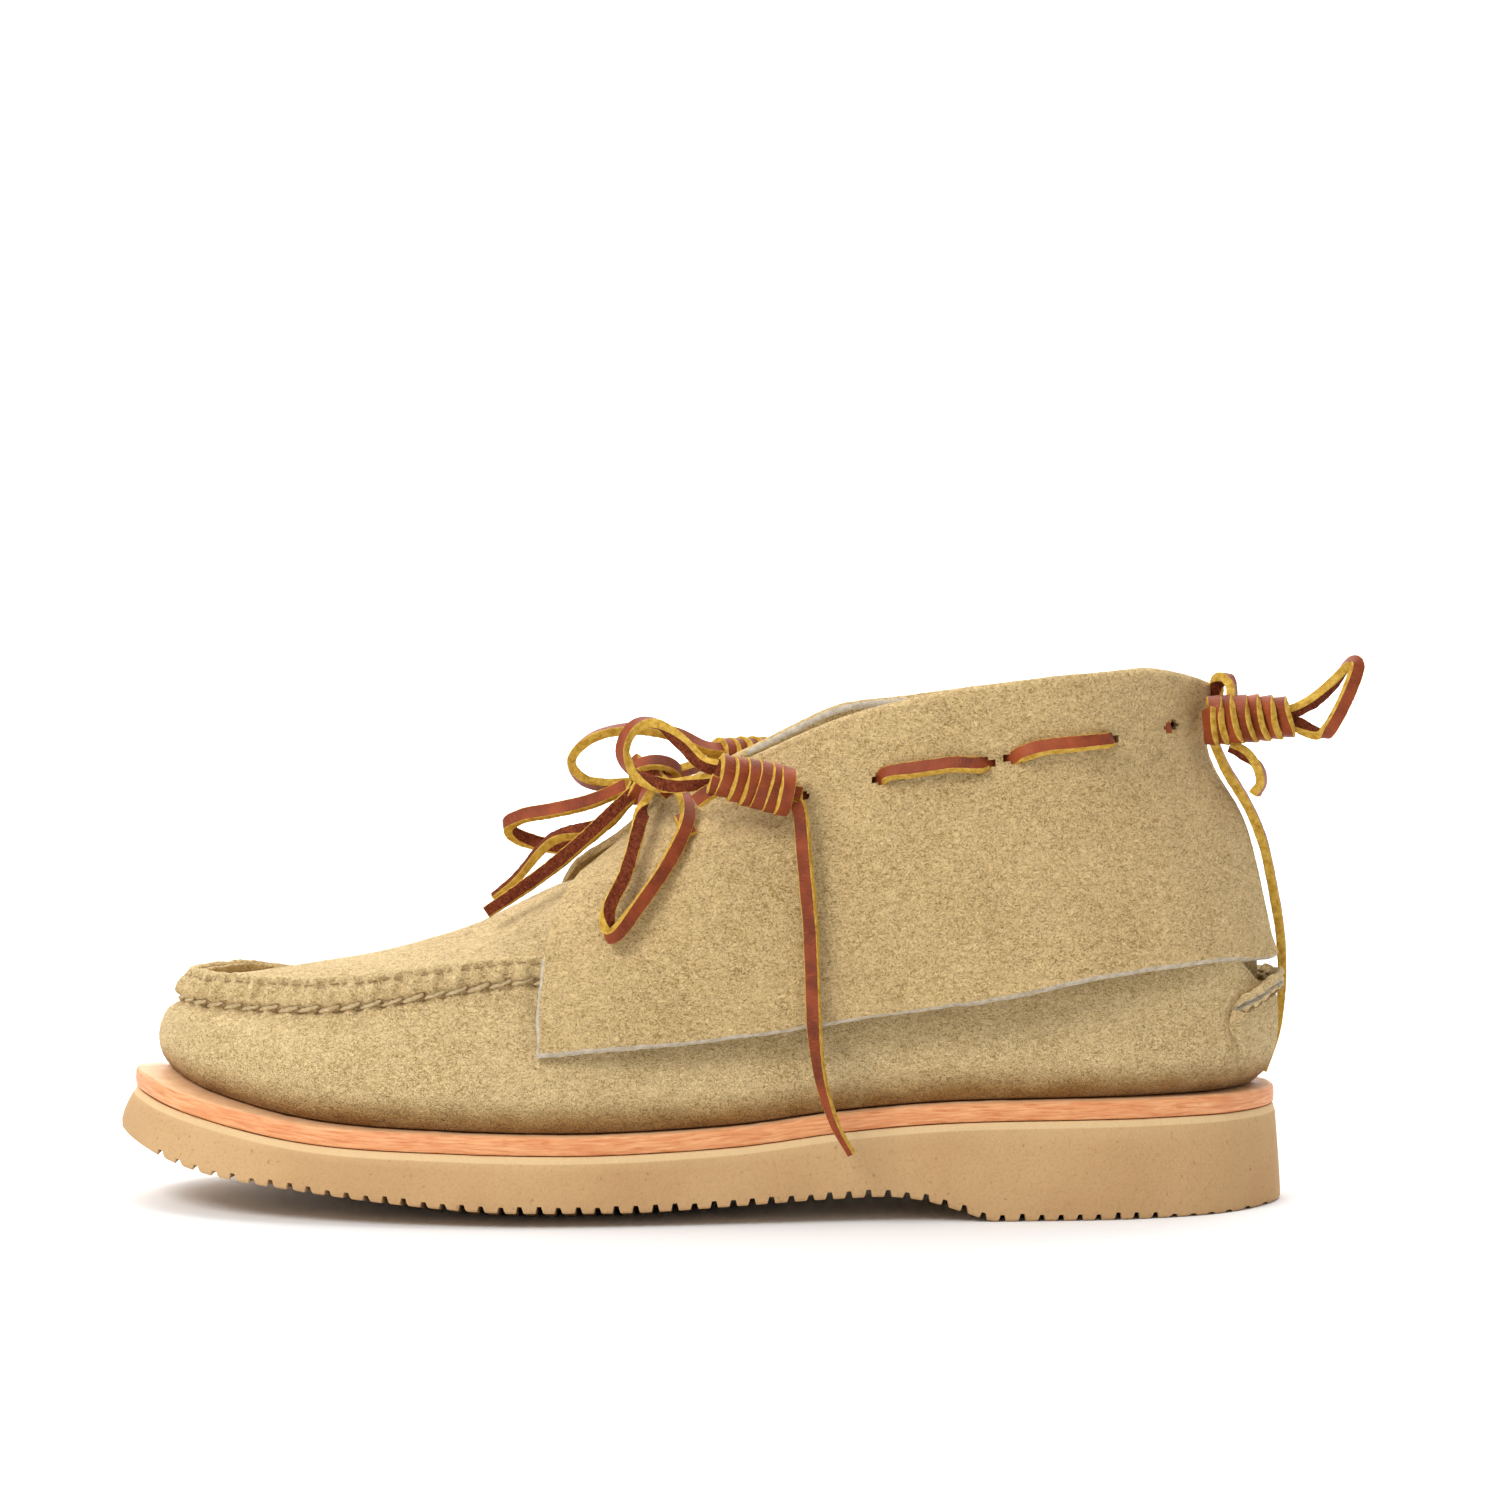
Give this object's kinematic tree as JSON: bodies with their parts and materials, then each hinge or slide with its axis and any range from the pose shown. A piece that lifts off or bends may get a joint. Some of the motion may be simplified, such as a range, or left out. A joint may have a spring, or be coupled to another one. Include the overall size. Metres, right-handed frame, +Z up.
{
  "type": "ankle moccasin",
  "caption": "Left suede ankle moccasin with a puckered moc-toe seam, fold-down thonged collar, tied laces and a grooved rubber sole.",
  "frame": {"origin": "on the ground, in the middle of the outsole's length and width", "axes": "+X towards the heel (the toe points to -X), +Y towards the inner side of the foot, +Z up"},
  "size_m": [0.3202, 0.1078, 0.1406],
  "materials": {
    "suede": "sand suede with a short nap",
    "insole_leather": "matte lining leather",
    "outsole_rubber": "tan matte foam rubber",
    "midsole_leather": "natural leather with a burnished edge",
    "lace_leather": "red-brown lace leather with pale cut edges",
    "thread": "waxed beige thread"
  },
  "bodies": {
    "shoe": {"outsole": "outsole_rubber", "midsole": "midsole_leather", "vamp": "suede", "sock_liner": "insole_leather", "apron": "suede", "collar": "suede", "seam_thread": "thread", "edge_thread": "thread", "heel_seam_thread": "thread", "thong_lateral": "lace_leather", "thong_medial": "lace_leather", "barrel_lateral": "lace_leather", "barrel_medial": "lace_leather", "ring_loop_lateral": "lace_leather", "ring_loop_medial": "lace_leather", "bow_knot": "lace_leather", "bow_loop_lateral": "lace_leather", "bow_loop_medial": "lace_leather"},
    "heel_toggle": {"barrel_heel": "lace_leather", "heel_loop": "lace_leather"},
    "lateral_tail": {"tail_lateral": "lace_leather"},
    "medial_tail": {"tail_medial": "lace_leather"},
    "heel_tail": {"tail_heel": "lace_leather"},
    "long_bow_tail": {"bow_tail_long": "lace_leather"},
    "short_bow_tail": {"bow_tail_short": "lace_leather"}
  },
  "joints": [
    {"name": "heel_toggle_tilt", "type": "hinge", "parent": "shoe", "child": "heel_toggle", "pos_m": [0.1292, -0.0124, 0.1254], "axis": [0, -1, 0], "range_deg": [-12, 18]},
    {"name": "lateral_tail_swing", "type": "hinge", "parent": "shoe", "child": "lateral_tail", "pos_m": [0.0256, -0.0422, 0.1034], "axis": [-1, 0, 0], "range_deg": [0, 70]},
    {"name": "medial_tail_swing", "type": "hinge", "parent": "shoe", "child": "medial_tail", "pos_m": [0.0256, 0.0422, 0.1034], "axis": [1, 0, 0], "range_deg": [0, 70]},
    {"name": "heel_tail_swing", "type": "hinge", "parent": "shoe", "child": "heel_tail", "pos_m": [0.1328, -0.009, 0.1178], "axis": [0, -1, 0], "range_deg": [0, 50]},
    {"name": "long_bow_tail_lift", "type": "hinge", "parent": "shoe", "child": "long_bow_tail", "pos_m": [-0.019, -0.0086, 0.1046], "axis": [0, 1, 0], "range_deg": [0, 45]},
    {"name": "short_bow_tail_lift", "type": "hinge", "parent": "shoe", "child": "short_bow_tail", "pos_m": [-0.0194, -0.0026, 0.1036], "axis": [0, 1, 0], "range_deg": [0, 40]}
  ]
}
